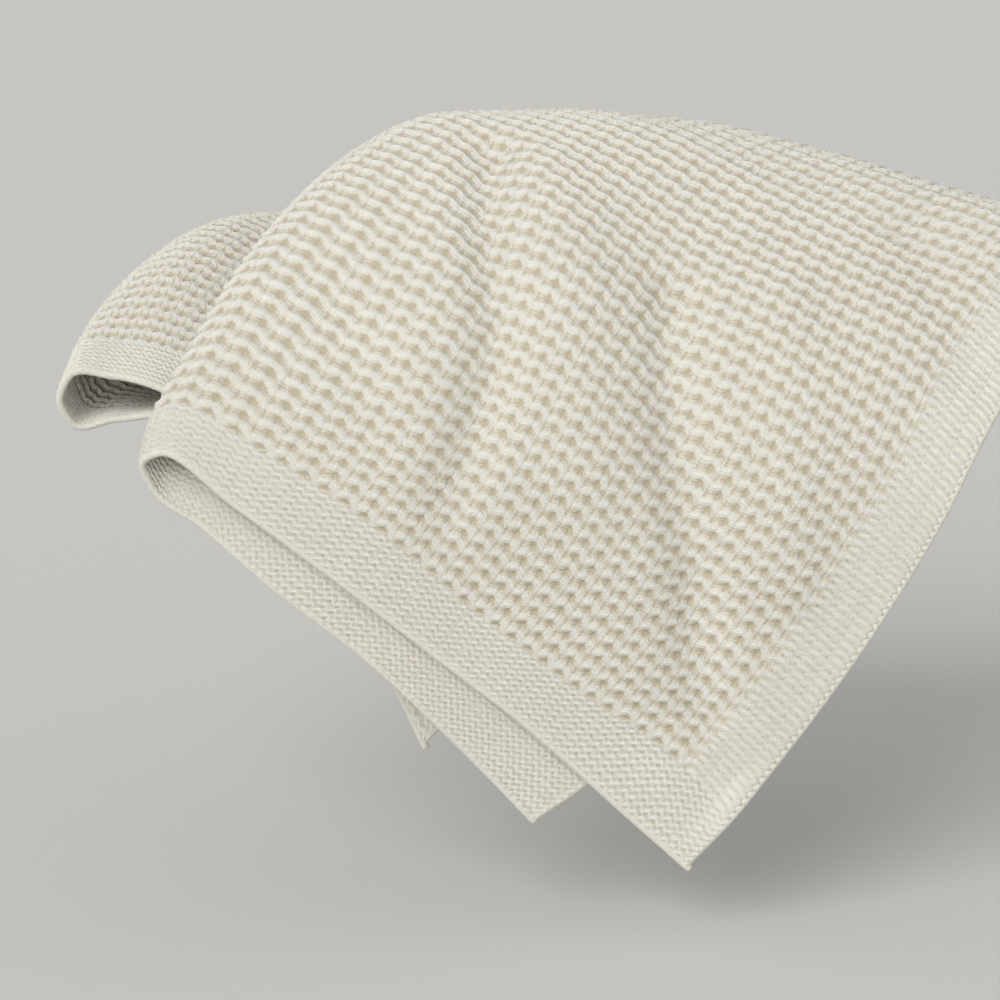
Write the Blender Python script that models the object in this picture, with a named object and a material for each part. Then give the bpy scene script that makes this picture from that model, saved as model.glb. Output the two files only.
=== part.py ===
"""Folded knitted throw, draped over the front edge and one end of a bench seat.

One sheet, knitted in one piece: a waffle field, a garter-stitch border all round and a
rounded edge cord. It is folded lengthwise along a line near its middle, and doubled back
crosswise. Two leaves lie on top and hang down in front; the other two lie under them.

Metres, +Z up. The origin is on the seat plane, under the throw. The seat's front edge
runs along X at SEAT_FRONT; the seat itself isn't modelled.

A place on the sheet is (u, v): u is the distance across from the lengthwise fold, under
zero on the leaf that faces out; v is the distance along from the crosswise fold, under
zero on the two leaves that lie on top.
"""

import math

import bmesh
import bpy
import numpy as np

# Driving dimensions of the sheet
WIDTH = 1.30
LENGTH = 1.80
THICKNESS = 0.0070
BORDER = 0.065  # garter-stitch border, from the edge to the waffle field
EDGE_CORD = 0.0070  # diameter of the rounded edge all round
FOLD_OFFSET = 0.025  # how far the lengthwise fold lies from the middle
PLY_GAP = 0.0060  # air between the two upper leaves, where they lie together
LOWER_PLY_GAP = 0.0090  # air between the two lower leaves
GAP = 0.0003  # between solids that meet
CORD_GAP = 0.0010  # between the edge cord and its panels, which bend with it

# How it lies
SEAT_FRONT = -0.150  # y of the seat's front edge
SEAT_EDGE_RADIUS = 0.035
SEAT_PRESS = 0.0050  # what lies nearer the seat than half of this is pressed flat on it
UPPER_FOLD_RADIUS = 0.019  # half the opening of the upper fold, at the front hem
UPPER_FOLD_PINCH = 0.008  # the same, further up
UNDER_DROP = 0.042  # how far the under leaf hangs out below the front hem
UNDER_SLANT = 0.35  # how fast the under leaf's free edge widens, from its hem up
UNDER_TUCK = 0.098  # how much narrower the under leaf lies than it is, at its hem

# Size of the cells each piece is built from
CELL = 0.036
LOWER_CELL = 0.025

UPPER_LEAF = WIDTH / 2 + FOLD_OFFSET
UNDER_LEAF = WIDTH / 2 - FOLD_OFFSET
HALF = LENGTH / 2
PLY = THICKNESS + PLY_GAP
LOWER_PLY = THICKNESS + LOWER_PLY_GAP

# The outer leaf's rails run along the sheet, from the front hem over the heap. Each point
# is (x, distance behind the seat's front edge, z), at these distances along (v).
RAIL_PLY = 0.013  # the ply that the rails were placed for
RAIL_AHEAD = 0.031  # how much further forward the hanging part lies than its rails
RAIL_V = (-0.900, -0.835, -0.760, -0.660, -0.560, -0.460, -0.360, -0.240, -0.120)
RAILS = {
    -0.675: (
        (0.184, -0.045, -0.444), (0.229, -0.045, -0.391), (0.277, -0.047, -0.331),
        (0.337, -0.047, -0.247), (0.393, -0.045, -0.160), (0.438, -0.036, -0.084),
        (0.486, 0.000, -0.002), (0.550, 0.075, 0.070), (0.615, 0.160, 0.118),
    ),
    -0.610: (
        (0.134, -0.045, -0.401), (0.184, -0.045, -0.335), (0.226, -0.047, -0.283),
        (0.284, -0.048, -0.199), (0.337, -0.046, -0.116), (0.387, -0.029, -0.036),
        (0.436, 0.021, 0.045), (0.500, 0.105, 0.116), (0.570, 0.190, 0.160),
    ),
    -0.458: (
        (0.022, -0.045, -0.294), (0.064, -0.045, -0.243), (0.110, -0.048, -0.186),
        (0.162, -0.048, -0.108), (0.218, -0.033, -0.030), (0.266, 0.002, 0.048),
        (0.310, 0.058, 0.115), (0.365, 0.140, 0.178), (0.440, 0.230, 0.205),
    ),
    -0.335: (
        (-0.069, -0.045, -0.221), (-0.029, -0.045, -0.168), (0.015, -0.048, -0.111),
        (0.067, -0.036, -0.029), (0.110, -0.006, 0.046), (0.158, 0.043, 0.116),
        (0.200, 0.098, 0.170), (0.262, 0.185, 0.222), (0.335, 0.270, 0.230),
    ),
    -0.151: (
        (-0.224, -0.045, -0.099), (-0.180, -0.043, -0.044), (-0.143, -0.024, 0.006),
        (-0.094, 0.014, 0.080), (-0.047, 0.063, 0.152), (-0.010, 0.126, 0.214),
        (0.036, 0.190, 0.256), (0.095, 0.285, 0.274), (0.165, 0.365, 0.222),
    ),
    -0.029: (
        (-0.328, -0.036, -0.022), (-0.316, -0.010, 0.026), (-0.282, 0.036, 0.082),
        (-0.236, 0.107, 0.150), (-0.185, 0.175, 0.204), (-0.132, 0.238, 0.242),
        (-0.066, 0.300, 0.266), (0.006, 0.365, 0.235), (0.070, 0.395, 0.130),
    ),
}

# The lower leaves, at these distances along (v): the lengthwise fold's outermost point
# and the free edge's place, each as (x, distance behind the seat's front edge, where
# under zero hangs down in front), and half the height of the fold's loop.
LOWER_V = (0.120, 0.240, 0.360, 0.480, 0.600, 0.720, 0.810, 0.900)
LOWER_FOLD = (
    (0.030, 0.325), (-0.085, 0.345), (-0.195, 0.340), (-0.290, 0.300),
    (-0.355, 0.235), (-0.402, 0.160), (-0.427, 0.105), (-0.440, 0.050),
)
LOWER_EDGE = (
    (0.590, 0.150), (0.500, 0.105), (0.400, 0.055), (0.290, 0.000),
    (0.185, -0.055), (0.080, -0.130), (-0.004, -0.208), (-0.094, -0.304),
)
LOOP_RADIUS = (0.042, 0.060, 0.078, 0.088, 0.086, 0.067, 0.045, 0.024)
LOOP_SAG = (0.0, 0.0, 0.0, 0.0, 0.0, -0.004, -0.009, -0.014)
HEM_BOW = (0.004, 0.100)  # how far the end hem bows out of a straight line
LOWER_FALL = 0.80  # how far the upper of the two lower leaves has come down, past its loop
BACK_REACH = 0.065  # how far the crosswise fold bulges past the leaves, on the outside
BACK_NEST = 0.030  # how much less it bulges on the leaves that lie inside

COLUMNS = (-0.675, -0.610, -0.458, -0.335, -0.220, -0.110, -0.029, 0.0,
           0.029, 0.110, 0.220, 0.335, 0.480, 0.625)


def spline(knots, values, at):
    """A smooth curve through values at knots, straight on past both ends."""
    knots = np.asarray(knots, float)
    values = np.asarray(values, float)
    at = np.atleast_1d(np.asarray(at, float))
    step = np.diff(knots)
    slope = np.diff(values, axis=0) / step[:, None]
    tangent = np.empty_like(values)
    tangent[1:-1] = slope[:-1] * step[1:, None] + slope[1:] * step[:-1, None]
    tangent[1:-1] /= (step[1:] + step[:-1])[:, None]
    tangent[0] = 1.5 * slope[0] - 0.5 * tangent[1]
    tangent[-1] = 1.5 * slope[-1] - 0.5 * tangent[-2]
    inside = np.clip(at, knots[0], knots[-1])
    i = np.clip(np.searchsorted(knots, inside, side="right") - 1, 0, len(knots) - 2)
    width = step[i][:, None]
    t = (inside - knots[i])[:, None] / width
    point = (2 * t**3 - 3 * t**2 + 1) * values[i] + (t**3 - 2 * t**2 + t) * width * tangent[i]
    point += (3 * t**2 - 2 * t**3) * values[i + 1] + (t**3 - t**2) * width * tangent[i + 1]
    beyond = (at - inside)[:, None]
    return point + beyond * np.where(beyond < 0, tangent[0], tangent[-1])


def smooth(x):
    """0 below 0, 1 above 1, and an even S between."""
    x = np.clip(x, 0.0, 1.0)
    return x * x * (3.0 - 2.0 * x)


def unit(vector):
    return vector / np.linalg.norm(vector, axis=-1, keepdims=True)


def outer_leaf(u, v):
    """The leaf that faces out, for u under zero and v up to the last rail point."""
    columns = [spline(RAIL_V, RAILS[c], [v])[0] for c in RAILS]
    point = spline(list(RAILS), columns, [u])[0]
    ahead = 3 * (PLY - RAIL_PLY) + RAIL_AHEAD * smooth(1 - (v + 0.76) / 0.5)
    return point + (0.0, SEAT_FRONT - ahead, 0.2 * ahead)


def outer_normal(u, v):
    """Out of the heap, square to the outer leaf."""
    step = 0.004
    across = outer_leaf(u + step, v) - outer_leaf(u - step, v)
    along = outer_leaf(u, v + step) - outer_leaf(u, v - step)
    return unit(np.cross(along, across))


def under_leaf(u, v):
    """The leaf just below the outer one, for u above zero."""
    up = v + 0.900
    tuck = max(UNDER_TUCK - UNDER_SLANT * min(up, 0.10), 0.0)
    reach = (0.625 - tuck) / 0.625
    drop = UNDER_DROP * (0.8 + 0.2 * smooth((u - 0.029) / 0.12) + 0.4 * smooth((u - 0.3) / 0.15))
    radius = UPPER_FOLD_PINCH
    radius += (UPPER_FOLD_RADIUS - UPPER_FOLD_PINCH) * (1 - smooth(up / 0.30))
    depth = PLY + max(2 * radius - PLY, 0.0) * math.exp(-((u - 0.029) / 0.12) ** 2)
    mirrored = min(-u * reach, -0.029)
    return outer_leaf(mirrored, v - drop) - depth * outer_normal(mirrored, max(v - drop, -0.9))


def over_seat(x, back, stand):
    """A point that stands off the seat: back is the distance behind its front edge."""
    radius = SEAT_EDGE_RADIUS + stand
    quarter = math.pi * radius / 4
    if back > quarter:
        return np.array((x, SEAT_FRONT + SEAT_EDGE_RADIUS + back - quarter, stand))
    if back < -quarter:
        return np.array((x, SEAT_FRONT - stand, back + quarter - SEAT_EDGE_RADIUS))
    angle = math.pi / 4 - back / radius
    y = SEAT_FRONT + SEAT_EDGE_RADIUS - radius * math.sin(angle)
    return np.array((x, y, radius * math.cos(angle) - SEAT_EDGE_RADIUS))


def lower_leaf(u, v):
    """The two leaves that lie under, joined by a loop at their lengthwise fold."""
    fold = spline(LOWER_V, LOWER_FOLD, [v])[0]
    edge = spline(LOWER_V, LOWER_EDGE, [v])[0]
    radius, sag = spline(LOWER_V, list(zip(LOOP_RADIUS, LOOP_SAG)), [v])[0]
    turn = np.clip(u / radius, -math.pi / 2, math.pi / 2)

    def inward(distance):
        if distance < radius * math.pi / 2:
            return radius * (1 - math.cos(distance / radius))
        return radius + distance - radius * math.pi / 2

    share = inward(abs(u)) / inward(0.650)
    place = fold + (edge - fold) * share
    place = place + np.array(HEM_BOW) * 4 * share * (1 - share) * smooth((v - 0.2) / 0.7)
    above = (1 + math.sin(turn)) / 2
    point = over_seat(place[0], place[1], THICKNESS / 2 + LOWER_PLY * above)
    loop = max(2 * radius - LOWER_PLY, 0.0) * above * (1 - LOWER_FALL * smooth(share / 0.6))
    point[2] += loop * smooth((place[1] + 0.005) / 0.055)
    point[2] += sag * (1 - smooth(share / 0.35))
    return point


def control_net():
    """Rails for every column, from the front hem over the crosswise fold to the end hem."""
    rows = list(RAIL_V) + [0.0] + list(LOWER_V)
    net = []
    for u in COLUMNS:
        if u < -0.02:
            upper = [outer_leaf(u, v) for v in RAIL_V]
        elif u > 0.02:
            upper = [under_leaf(u, v) for v in RAIL_V]
        else:
            upper = []
            for v in RAIL_V:
                top = outer_leaf(-0.029, v)
                low = under_leaf(0.029, v)
                out = top - outer_leaf(-0.110, v)
                down = unit(top - low)
                out = unit(out - down * np.dot(out, down))
                reach = 0.029 - 0.285 * np.linalg.norm(top - low)
                upper.append((top + low) / 2 + out * max(reach, 0.012))
        lower = [lower_leaf(u, v) for v in LOWER_V]
        middle = (upper[-1] + lower[0]) / 2
        ahead = unit((upper[-1] - upper[-2]) * (1.0, 1.0, 0.0))
        reach = BACK_REACH - BACK_NEST * (1 + math.sin(np.clip(u / 0.06, -1.57, 1.57))) / 2
        net.append(upper + [middle + ahead * reach] + lower)
    return rows, np.array(net)


NET_ROWS, NET = control_net()


def sheet(us, vs):
    """Points of the sheet's middle surface, as an array of len(us) by len(vs) by 3."""
    rails = np.array([spline(NET_ROWS, rail, vs) for rail in NET])
    flat = spline(COLUMNS, rails.reshape(len(COLUMNS), -1), us)
    return flat.reshape(len(us), len(vs), 3)


def normals(us, vs, step=0.002):
    """Square to the sheet, out of the face that shows."""
    across = sheet(us + step, vs) - sheet(us - step, vs)
    along = sheet(us, vs + step) - sheet(us, vs - step)
    return unit(np.cross(along, across))
# --- build ---
def marks(start, end, cell, dense=()):
    """Even steps from start to end, with shorter ones where (low, high, cell) asks."""
    stops = [start, end]
    for low, high, _ in dense:
        stops += [x for x in (low, high) if start + GAP < x < end - GAP]
    stops = sorted(set(stops))
    found = [start]
    for low, high in zip(stops, stops[1:]):
        middle = (low + high) / 2
        size = min([cell] + [fine for a, b, fine in dense if a <= middle <= b])
        steps = max(1, round((high - low) / size))
        found += [low + (high - low) * (i + 1) / steps for i in range(steps)]
    return np.array(found)


def material(name, colour, roughness):
    made = bpy.data.materials.new(name)
    made.use_nodes = True
    shader = made.node_tree.nodes["Principled BSDF"]
    shader.inputs["Base Color"].default_value = (*colour, 1.0)
    shader.inputs["Roughness"].default_value = roughness
    made.diffuse_color = (*colour, 1.0)
    return made


def pressed(height):
    """Height above the seat, made nothing where it is small."""
    if abs(height) >= SEAT_PRESS:
        return height
    return math.copysign(max(2 * abs(height) - SEAT_PRESS, 0.0), height)


def link(thing, colour):
    thing.data.materials.append(material(thing.name + "_knit", colour, 0.9))
    parts.objects.link(thing)


def panel(name, u_range, v_range, colour):
    """One piece of the sheet: a grid, thickened half each way along the sheet's normal."""
    u_marks = marks(u_range[0] + GAP / 2, u_range[1] - GAP / 2, CELL, DENSE_U)
    v_marks = marks(v_range[0] + GAP / 2, v_range[1] - GAP / 2, CELL, DENSE_V)
    middle = sheet(u_marks, v_marks)
    normal = normals(u_marks, v_marks)
    columns, rows = len(u_marks), len(v_marks)
    work = bmesh.new()
    bmesh.ops.create_grid(work, x_segments=columns - 1, y_segments=rows - 1, size=1.0)
    faces = bmesh.ops.extrude_face_region(work, geom=work.faces[:], use_keep_orig=True)
    lifted = {v for v in faces["geom"] if isinstance(v, bmesh.types.BMVert)}
    for vertex in work.verts:
        i = round((vertex.co.x + 1) / 2 * (columns - 1))
        j = round((vertex.co.y + 1) / 2 * (rows - 1))
        side = 0.5 if vertex in lifted else -0.5
        vertex.co = middle[i, j] + side * THICKNESS * normal[i, j]
        if side * normal[i, j, 2] < 0:
            vertex.co.z = pressed(vertex.co.z)
    bmesh.ops.triangulate(work, faces=work.faces[:], quad_method="BEAUTY")
    bmesh.ops.recalc_face_normals(work, faces=work.faces[:])
    mesh = bpy.data.meshes.new(name)
    work.to_mesh(mesh)
    work.free()
    link(bpy.data.objects.new(name, mesh), colour)


def cord(name, u_marks, v_marks, away, colour):
    """The rounded edge: a bevelled curve that runs clear of the edge of its panels."""
    line = sheet(u_marks, v_marks)
    step = 0.001 * np.array(away)
    out = line - sheet(u_marks - step[0], v_marks - step[1])
    if away[0]:
        along = sheet(u_marks, v_marks + 0.002) - sheet(u_marks, v_marks - 0.002)
    else:
        along = sheet(u_marks + 0.002, v_marks) - sheet(u_marks - 0.002, v_marks)
    along = unit(along)
    out = unit(out - along * np.sum(out * along, axis=-1, keepdims=True))
    line = (line + out * (EDGE_CORD / 2 + CORD_GAP)).reshape(-1, 3)
    curve = bpy.data.curves.new(name, "CURVE")
    curve.dimensions = "3D"
    curve.bevel_depth = EDGE_CORD / 2
    curve.bevel_resolution = 1
    curve.use_fill_caps = True
    run = curve.splines.new("POLY")
    run.points.add(len(line) - 1)
    for point, place in zip(run.points, line):
        point.co = (*place, 1.0)
    link(bpy.data.objects.new(name, curve), colour)


for old in list(bpy.data.objects):
    bpy.data.objects.remove(old)
parts = bpy.data.collections.new("folded_throw")
bpy.context.scene.collection.children.link(parts)

DENSE_U = ((-0.150, 0.150, 0.025), (-0.030, 0.030, 0.010))
front = -HALF + EDGE_CORD
front_line = -HALF + BORDER
end_line = HALF - BORDER
end = HALF - EDGE_CORD
outer = -UPPER_LEAF + EDGE_CORD
outer_line = -UPPER_LEAF + BORDER
under_line = UNDER_LEAF - BORDER
under = UNDER_LEAF - EDGE_CORD
strip = 0.030
DENSE_U = (
    (outer_line, outer_line, CELL), (under_line, under_line, CELL),
    (-0.150, -strip, 0.025), (-strip, strip, 0.010), (strip, 0.150, 0.025),
)
DENSE_V = (
    (front_line, front_line, CELL), (end_line, end_line, CELL),
    (-0.150, 0.150, 0.025), (0.0, 0.0, CELL), (0.150, 0.900, LOWER_CELL),
)

FIELD = (0.74, 0.72, 0.66)
GARTER = (0.78, 0.76, 0.70)
FOLD = (0.70, 0.68, 0.62)
CORD = (0.82, 0.80, 0.74)

panel("front_border_outer", (outer, -strip), (front, front_line), GARTER)
panel("front_border_fold", (-strip, strip), (front, front_line), FOLD)
panel("front_border_under", (strip, under), (front, front_line), GARTER)
panel("upper_outer_side_border", (outer, outer_line), (front_line, 0.0), GARTER)
panel("upper_outer_field", (outer_line, -strip), (front_line, 0.0), FIELD)
panel("upper_fold", (-strip, strip), (front_line, 0.0), FOLD)
panel("upper_inner_field", (strip, under_line), (front_line, 0.0), FIELD)
panel("upper_inner_side_border", (under_line, under), (front_line, 0.0), GARTER)
panel("lower_outer_side_border", (outer, outer_line), (0.0, end_line), GARTER)
panel("lower_outer_field", (outer_line, -strip), (0.0, end_line), FIELD)
panel("lower_fold", (-strip, strip), (0.0, end_line), FOLD)
panel("lower_inner_field", (strip, under_line), (0.0, end_line), FIELD)
panel("lower_inner_side_border", (under_line, under), (0.0, end_line), GARTER)
panel("end_border_outer", (outer, -strip), (end_line, end), GARTER)
panel("end_border_fold", (-strip, strip), (end_line, end), FOLD)
panel("end_border_inner", (strip, under), (end_line, end), GARTER)

clear = EDGE_CORD + CORD_GAP
hem_u = np.concatenate(([outer - clear], marks(outer, under, CELL, DENSE_U), [under + clear]))
side_v = marks(front + 4 * GAP, end - 4 * GAP, CELL, DENSE_V)
cord("front_hem_cord", hem_u, np.array([front]), (0.0, -1.0), CORD)
cord("end_hem_cord", hem_u, np.array([end]), (0.0, 1.0), CORD)
cord("outer_side_cord", np.array([outer]), side_v, (-1.0, 0.0), CORD)
cord("inner_side_cord", np.array([under]), side_v, (1.0, 0.0), CORD)
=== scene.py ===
"""Folded knitted throw: waffle field, garter-stitch borders and a rounded chain edge.

The drape is one surface of (across, along): across is the distance from the lengthwise
fold, under zero on the leaf that faces out, and along is the distance from the crosswise
fold, under zero on the leaves that lie on top.
"""

import math

import bpy
import numpy as np
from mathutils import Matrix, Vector


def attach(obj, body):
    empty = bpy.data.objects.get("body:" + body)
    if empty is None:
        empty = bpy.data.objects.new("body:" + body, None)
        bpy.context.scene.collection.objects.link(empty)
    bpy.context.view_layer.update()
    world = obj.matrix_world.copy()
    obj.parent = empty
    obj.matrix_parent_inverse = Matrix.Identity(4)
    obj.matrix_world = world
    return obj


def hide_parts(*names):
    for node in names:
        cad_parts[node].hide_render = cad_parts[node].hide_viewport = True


bl_info = {
    "name": "Folded Knitted Throw",
    "version": (1, 0, 0),
    "blender": (4, 5, 0),
    "location": "View3D > Sidebar > Throw",
    "description": "Builds a folded throw in waffle knit and garter stitch",
    "category": "Add Mesh",
}

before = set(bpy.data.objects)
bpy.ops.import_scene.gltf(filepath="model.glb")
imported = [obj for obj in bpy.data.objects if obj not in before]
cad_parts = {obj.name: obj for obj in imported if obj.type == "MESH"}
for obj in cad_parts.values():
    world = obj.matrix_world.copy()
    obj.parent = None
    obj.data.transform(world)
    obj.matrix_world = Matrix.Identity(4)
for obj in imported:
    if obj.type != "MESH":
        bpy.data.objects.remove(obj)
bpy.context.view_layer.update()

# The sheet, in metres
WIDTH = 1.30
LENGTH = 1.80
THICKNESS = 0.0070
BORDER = 0.065
EDGE_CORD = 0.0070
FOLD_OFFSET = 0.025  # how much wider the leaf that faces out is than half the sheet
PLY_GAP = 0.0060
LOWER_PLY_GAP = 0.0090

# How it lies
SEAT_FRONT = -0.150  # y of the seat's front edge
SEAT_EDGE_RADIUS = 0.035
UPPER_FOLD_RADIUS = 0.019  # half the opening of the upper fold, at the front hem
UPPER_FOLD_PINCH = 0.008  # the same, further up
PINCH_UP = 0.30  # how far up from the hem it takes to pinch
FOLD_HALF = 0.029  # half of the upper fold's width, along the sheet
FOLD_SIDE = 0.110  # the rail next to the fold
FOLD_TAKE = 0.285  # how much of the fold's opening its round takes out of its width
FOLD_LEAST = 0.012  # the least that the fold stands out
FOLD_FADE = 0.12  # how far past the fold its roundness dies away
UNDER_DROP = 0.042  # how far the under leaf hangs out below the front hem
DROP_SHARES = (0.8, 0.2, 0.4)  # of that: at the fold, more past it, more at the free edge
DROP_EDGE = (0.30, 0.15)  # where the free edge's share begins, and over how far it grows
UNDER_SLANT = 0.35  # how fast the under leaf's free edge widens, from its hem up
SLANT_UP = 0.10  # how far up it widens
UNDER_TUCK = 0.098  # how much narrower the under leaf lies than it is, at its hem

UPPER_LEAF = WIDTH / 2 + FOLD_OFFSET
UNDER_LEAF = WIDTH / 2 - FOLD_OFFSET
HALF = LENGTH / 2
PLY = THICKNESS + PLY_GAP
LOWER_PLY = THICKNESS + LOWER_PLY_GAP

# Where the knitting changes: across from OUTER to INNER, along from FRONT to END
FRONT = -HALF + EDGE_CORD
FRONT_LINE = -HALF + BORDER
END_LINE = HALF - BORDER
END = HALF - EDGE_CORD
OUTER = -UPPER_LEAF + EDGE_CORD
OUTER_LINE = -UPPER_LEAF + BORDER
INNER_LINE = UNDER_LEAF - BORDER
INNER = UNDER_LEAF - EDGE_CORD
STRIP = 0.030  # half the width of the strip that holds a lengthwise fold

# The outer leaf's rails run along the sheet, from the front hem over the heap. Each point
# is (x, distance behind the seat's front edge, z), at these distances along (v).
RAIL_PLY = 0.013  # the ply that the rails were placed for
RAIL_AHEAD = 0.031  # how much further forward the hanging part lies than its rails
HANG_TOP = -0.76  # along: below this it lies all of that forward
HANG_FADE = 0.50  # and over this much more it comes back to the rails
PLY_AHEAD = 3  # how many times a thicker ply's extra it lies further forward
AHEAD_RISE = 0.2  # how much of what it lies forward it also lies higher
RAIL_V = (-0.900, -0.835, -0.760, -0.660, -0.560, -0.460, -0.360, -0.240, -0.120)
RAILS = {
    -0.675: (
        (0.184, -0.045, -0.444), (0.229, -0.045, -0.391), (0.277, -0.047, -0.331),
        (0.337, -0.047, -0.247), (0.393, -0.045, -0.160), (0.438, -0.036, -0.084),
        (0.486, 0.000, -0.002), (0.550, 0.075, 0.070), (0.615, 0.160, 0.118),
    ),
    -0.610: (
        (0.134, -0.045, -0.401), (0.184, -0.045, -0.335), (0.226, -0.047, -0.283),
        (0.284, -0.048, -0.199), (0.337, -0.046, -0.116), (0.387, -0.029, -0.036),
        (0.436, 0.021, 0.045), (0.500, 0.105, 0.116), (0.570, 0.190, 0.160),
    ),
    -0.458: (
        (0.022, -0.045, -0.294), (0.064, -0.045, -0.243), (0.110, -0.048, -0.186),
        (0.162, -0.048, -0.108), (0.218, -0.033, -0.030), (0.266, 0.002, 0.048),
        (0.310, 0.058, 0.115), (0.365, 0.140, 0.178), (0.440, 0.230, 0.205),
    ),
    -0.335: (
        (-0.069, -0.045, -0.221), (-0.029, -0.045, -0.168), (0.015, -0.048, -0.111),
        (0.067, -0.036, -0.029), (0.110, -0.006, 0.046), (0.158, 0.043, 0.116),
        (0.200, 0.098, 0.170), (0.262, 0.185, 0.222), (0.335, 0.270, 0.230),
    ),
    -0.151: (
        (-0.224, -0.045, -0.099), (-0.180, -0.043, -0.044), (-0.143, -0.024, 0.006),
        (-0.094, 0.014, 0.080), (-0.047, 0.063, 0.152), (-0.010, 0.126, 0.214),
        (0.036, 0.190, 0.256), (0.095, 0.285, 0.274), (0.165, 0.365, 0.222),
    ),
    -0.029: (
        (-0.328, -0.036, -0.022), (-0.316, -0.010, 0.026), (-0.282, 0.036, 0.082),
        (-0.236, 0.107, 0.150), (-0.185, 0.175, 0.204), (-0.132, 0.238, 0.242),
        (-0.066, 0.300, 0.266), (0.006, 0.365, 0.235), (0.070, 0.395, 0.130),
    ),
}

# The lower leaves, at these distances along (v): the lengthwise fold's outermost point
# and the free edge's place, each as (x, distance behind the seat's front edge, where
# under zero hangs down in front), and half the height of the fold's loop.
LOWER_V = (0.120, 0.240, 0.360, 0.480, 0.600, 0.720, 0.810, 0.900)
LOWER_FOLD = (
    (0.030, 0.325), (-0.085, 0.345), (-0.195, 0.340), (-0.290, 0.300),
    (-0.355, 0.235), (-0.402, 0.160), (-0.427, 0.105), (-0.440, 0.050),
)
LOWER_EDGE = (
    (0.590, 0.150), (0.500, 0.105), (0.400, 0.055), (0.290, 0.000),
    (0.185, -0.055), (0.080, -0.130), (-0.004, -0.208), (-0.094, -0.304),
)
LOOP_RADIUS = (0.042, 0.060, 0.078, 0.088, 0.086, 0.067, 0.045, 0.024)
LOOP_SAG = (0.0, 0.0, 0.0, 0.0, 0.0, -0.004, -0.009, -0.014)
HEM_BOW = (0.004, 0.100)  # how far the end hem bows out of a straight line
BOW_FROM = 0.2  # along: where the bow begins
BOW_RUN = 0.7  # and over how far it grows
LOWER_FALL = 0.80  # how far the upper of the two lower leaves has come down, past its loop
FALL_SHARE = 0.60  # at what share of the leaf's width it has
SAG_SHARE = 0.35  # at what share of the leaf's width the loop's sag has died out
LOOP_AHEAD = 0.005  # how far ahead of the seat's front edge the loop begins to stand
LOOP_RISE = 0.055  # over how far it rises from there
BACK_REACH = 0.065  # how far the crosswise fold bulges past the leaves, on the outside
BACK_NEST = 0.030  # how much less it bulges on the leaves that lie inside
BACK_TURN = 0.06  # over how far across the fold it changes from one to the other

COLUMNS = (
    -0.675, -0.610, -0.458, -0.335, -0.220, -0.110, -0.029, 0.0,
    0.029, 0.110, 0.220, 0.335, 0.480, 0.625,
)

# Long soft folds in the upper leaves: a path of (across, along), its half width, and how
# deep it is pressed in. Where the depth is negative the sheet swells out instead.
SOFT_FOLDS = (
    (
        ((-0.125, -0.400), (-0.175, -0.525), (-0.215, -0.595), (-0.240, -0.690), (-0.275, -0.860)),
        0.027, 0.0200,
    ),
    (
        ((-0.345, -0.450), (-0.365, -0.495), (-0.425, -0.595), (-0.485, -0.655), (-0.580, -0.780)),
        0.030, 0.0190,
    ),
    (((-0.500, -0.220), (-0.555, -0.280), (-0.630, -0.330)), 0.038, 0.0060),
    (((-0.100, -0.660), (-0.140, -0.710), (-0.165, -0.750)), 0.032, 0.0070),
    (((-0.180, -0.400), (-0.270, -0.515), (-0.345, -0.640)), 0.042, -0.0080),
    (((-0.430, -0.380), (-0.485, -0.470), (-0.565, -0.600)), 0.042, -0.0070),
)
UNDER_PRESS = 1.5  # how much deeper the under leaf is pressed than the outer one
UNDER_SPREAD = 1.8  # and how much wider, so that it stays clear behind it
CALM_FOLD = (0.02, 0.06)  # how far from the lengthwise fold they begin, and over how far they grow
CALM_BACK = 0.15  # over how far they grow from the crosswise fold
CALM_HEM = (0.03, 0.20)  # the same two, from the front hem

EDGE_CURL = 0.012  # how far the outer leaf's side edge rolls forward, near the front corner
CURL_WIDTH = 0.034  # how far in from the edge
CURL_AT = -0.830  # along: its middle
CURL_RUN = 0.045  # half its length

UNDERNEATH = 0.75  # how much of the relief is left on the lower leaves, flattened from above
SEED = 4.0  # of the stitches' unevenness

LIP_FIRST = 0.00006  # how far a piece's first mark past its end lies below its neighbour's face
LIP_REST = 0.0006  # and the marks after that
BORDER_BLEND = 0.003  # over how far the waffle turns into garter stitch

# The rounded edge
CORD_OVER = 0.0004  # how much thicker it is than the CAD's cord, in radius
CORD_BACK = 0.0034  # how far its middle lies back from the cord's outer side
CORD_PAST = 0.0065  # how far the hems' edges run past the sides
CORD_STEP = 0.0016  # from one ring of its mesh to the next
CHAIN_PITCH = 0.0085  # from one crossing of its strands to the next
CHAIN_SHIFT = 0.8  # between the strands that cross it one way and the other, in radians
CHAIN_BULGE = (0.95, 0.08)  # its thickness between the strands, and what they add
CHAIN_SHADE = (0.50, 0.30)  # the same for its tone: painted shade, darker between the strands than on them

# The stage
FLOOR_HALF = 30.0
CAMERA_PLACE = (0.0, -3.27, 0.70)
CAMERA_DIP = 13.94  # degrees below level
KEY_FROM = (-0.44, -0.70, 0.60)
FILL_FROM = (-0.16, -0.97, 0.10)
FILL_SHARE = 0.28  # of the key light's strength


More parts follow.
